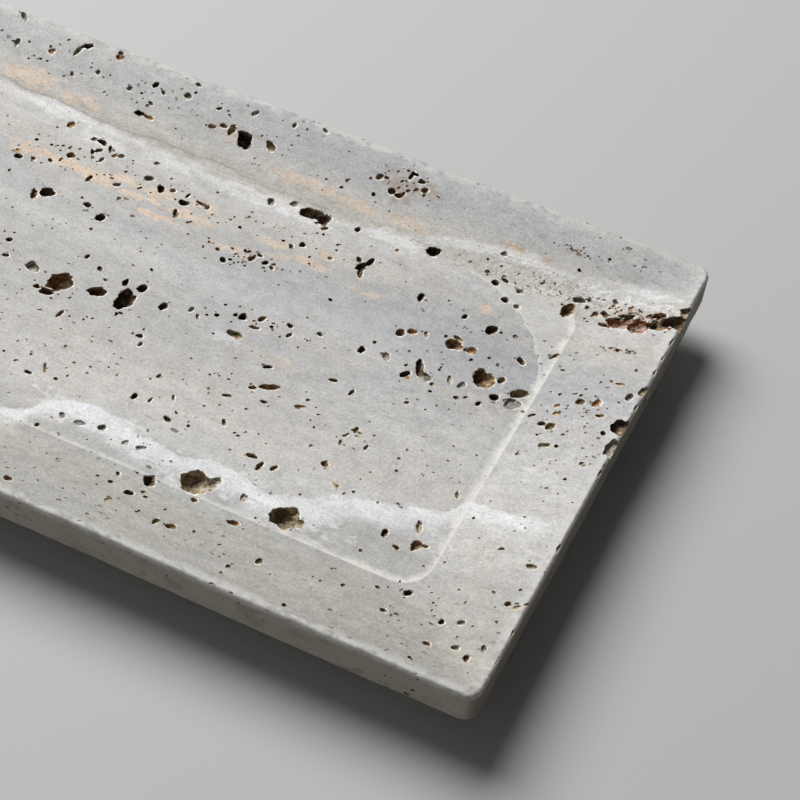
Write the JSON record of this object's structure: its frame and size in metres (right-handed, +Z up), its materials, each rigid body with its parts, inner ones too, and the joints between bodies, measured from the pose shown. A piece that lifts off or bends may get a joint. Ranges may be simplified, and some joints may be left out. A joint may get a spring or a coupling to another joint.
{
  "type": "travertine tray",
  "caption": "Shallow rectangular stone tray with a flat floor, wide sloping borders and a thin upright rim over an undercut base, standing on stick-on felt feet.",
  "frame": {"origin": "on the table, under the middle of the tray", "axes": "+X along the tray's length, towards the end with the broken seam; +Y across it, towards the rear; +Z up, out of the recess"},
  "size_m": [0.3, 0.15, 0.022],
  "materials": {
    "travertine": "honed, unfilled",
    "felt": "pressed wool felt",
    "adhesive": "clear amber acrylic film"
  },
  "bodies": {
    "root": {"tray_body": "travertine", "felt_foot_front_left": "felt", "felt_foot_front_right": "felt", "felt_foot_rear_left": "felt", "felt_foot_rear_right": "felt", "foot_adhesive_front_left": "adhesive", "foot_adhesive_front_right": "adhesive", "foot_adhesive_rear_left": "adhesive", "foot_adhesive_rear_right": "adhesive"}
  },
  "joints": []
}
